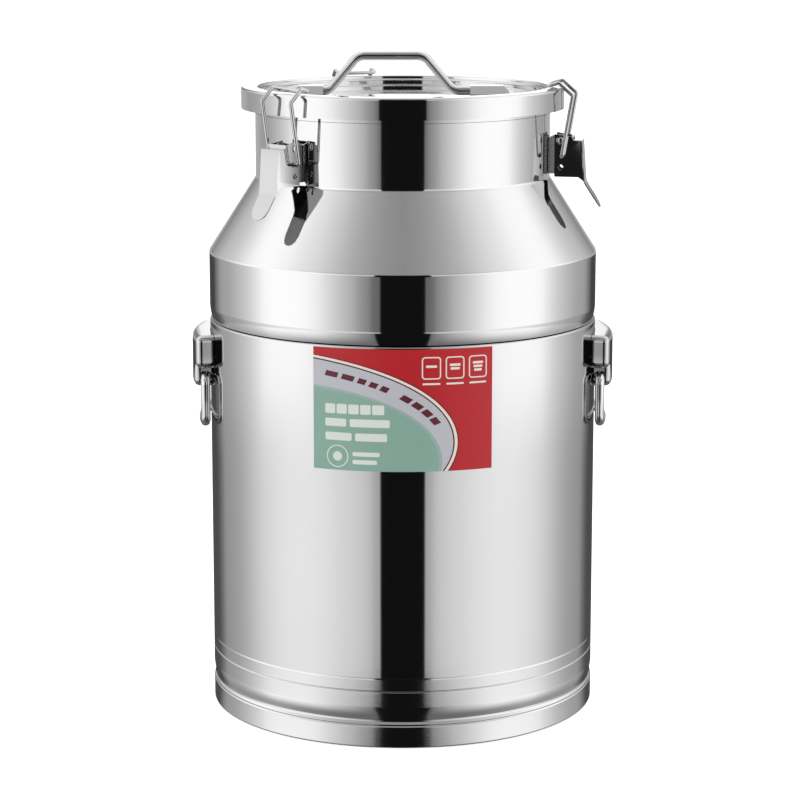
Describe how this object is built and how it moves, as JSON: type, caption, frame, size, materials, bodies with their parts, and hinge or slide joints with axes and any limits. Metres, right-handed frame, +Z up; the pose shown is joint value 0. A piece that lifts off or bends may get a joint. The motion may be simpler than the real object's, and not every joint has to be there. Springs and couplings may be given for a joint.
{
  "type": "milk can",
  "caption": "Polished stainless steel milk can: straight barrel, conical shoulder, recessed lid clamped by over-centre wire latches, hanging side handles and a foot ring.",
  "frame": {"origin": "centre of the can's footprint, on the plane that the foot ring stands on", "axes": "+Z up along the can's axis; -Y is the front, where the sticker is; the side handles are at -X and +X"},
  "size_m": [0.3824, 0.3506, 0.5936],
  "materials": {
    "barrel_steel": "mirror-polished stainless steel",
    "shoulder_steel": "mirror-polished stainless steel",
    "mouth_steel": "polished stainless steel",
    "base_steel": "bright rolled stainless steel",
    "foot_steel": "mirror-polished stainless steel",
    "lid_steel": "mirror-polished stainless steel",
    "bar_steel": "polished stainless steel bar",
    "lug_steel": "polished stainless steel",
    "bracket_steel": "polished stainless steel, softened edges",
    "bail_steel": "polished stainless steel bar",
    "latch_base_steel": "bright stamped stainless steel",
    "lever_steel": "bright stamped stainless steel",
    "pin_steel": "turned stainless steel",
    "wire_steel": "polished stainless steel wire",
    "silicone": "matte milky silicone",
    "label_print": "glossy printed film"
  },
  "bodies": {
    "can": {"barrel_shell": "barrel_steel", "shoulder_shell": "shoulder_steel", "mouth_ring": "mouth_steel", "base_plate": "base_steel", "foot_ring": "foot_steel", "label": "label_print", "side_handle_left_bracket": "bracket_steel", "side_handle_right_bracket": "bracket_steel", "latch_1_base": "latch_base_steel", "latch_2_base": "latch_base_steel", "latch_3_base": "latch_base_steel"},
    "lid": {"lid_pan": "lid_steel", "lid_gasket": "silicone", "lid_handle_bar": "bar_steel", "lid_handle_lug_left": "lug_steel", "lid_handle_lug_right": "lug_steel"},
    "latch_1_lever": {"latch_1_lever": "lever_steel", "latch_1_pivot_pin": "pin_steel"},
    "latch_1_wire": {"latch_1_wire_bail": "wire_steel"},
    "latch_2_lever": {"latch_2_lever": "lever_steel", "latch_2_pivot_pin": "pin_steel"},
    "latch_2_wire": {"latch_2_wire_bail": "wire_steel"},
    "latch_3_lever": {"latch_3_lever": "lever_steel", "latch_3_pivot_pin": "pin_steel"},
    "latch_3_wire": {"latch_3_wire_bail": "wire_steel"},
    "side_handle_left_bail": {"side_handle_left_bail": "bail_steel"},
    "side_handle_right_bail": {"side_handle_right_bail": "bail_steel"}
  },
  "joints": [
    {"name": "lid_lift", "type": "slide", "parent": "can", "child": "lid", "axis": [0, 0, 1], "range_m": [0, 0.036]},
    {"name": "latch_1_lever_hinge", "type": "hinge", "parent": "can", "child": "latch_1_lever", "pos_m": [-0.10023, -0.102, 0.5168], "axis": [-0.7133, 0.7009, 0], "range_deg": [0, 112]},
    {"name": "latch_1_wire_hinge", "type": "hinge", "parent": "latch_1_lever", "child": "latch_1_wire", "pos_m": [-0.10191, -0.10371, 0.503], "axis": [-0.7133, 0.7009, 0], "range_deg": [-262, 0]},
    {"name": "latch_2_lever_hinge", "type": "hinge", "parent": "can", "child": "latch_2_lever", "pos_m": [0.14124, -0.02237, 0.5168], "axis": [-0.1564, -0.9877, 0], "range_deg": [0, 112]},
    {"name": "latch_2_wire_hinge", "type": "hinge", "parent": "latch_2_lever", "child": "latch_2_wire", "pos_m": [0.14361, -0.02275, 0.503], "axis": [-0.1564, -0.9877, 0], "range_deg": [-262, 0]},
    {"name": "latch_3_lever_hinge", "type": "hinge", "parent": "can", "child": "latch_3_lever", "pos_m": [-0.04656, 0.13521, 0.5168], "axis": [0.9455, 0.3256, 0], "range_deg": [0, 112]},
    {"name": "latch_3_wire_hinge", "type": "hinge", "parent": "latch_3_lever", "child": "latch_3_wire", "pos_m": [-0.04734, 0.13748, 0.503], "axis": [0.9455, 0.3256, 0], "range_deg": [-262, 0]},
    {"name": "side_handle_left_hinge", "type": "hinge", "parent": "can", "child": "side_handle_left_bail", "pos_m": [-0.177, 0, 0.305], "axis": [0, 1, 0], "range_deg": [0, 100]},
    {"name": "side_handle_right_hinge", "type": "hinge", "parent": "can", "child": "side_handle_right_bail", "pos_m": [0.177, 0, 0.305], "axis": [0, -1, 0], "range_deg": [0, 100]}
  ],
  "couplings": [
    {"joint": "latch_1_lever_hinge", "follows": "lid_lift", "rad_per_m": 54.299},
    {"joint": "latch_1_wire_hinge", "follows": "lid_lift", "rad_per_m": -127.02},
    {"joint": "latch_2_lever_hinge", "follows": "lid_lift", "rad_per_m": 54.299},
    {"joint": "latch_2_wire_hinge", "follows": "lid_lift", "rad_per_m": -127.02},
    {"joint": "latch_3_lever_hinge", "follows": "lid_lift", "rad_per_m": 54.299},
    {"joint": "latch_3_wire_hinge", "follows": "lid_lift", "rad_per_m": -127.02}
  ]
}
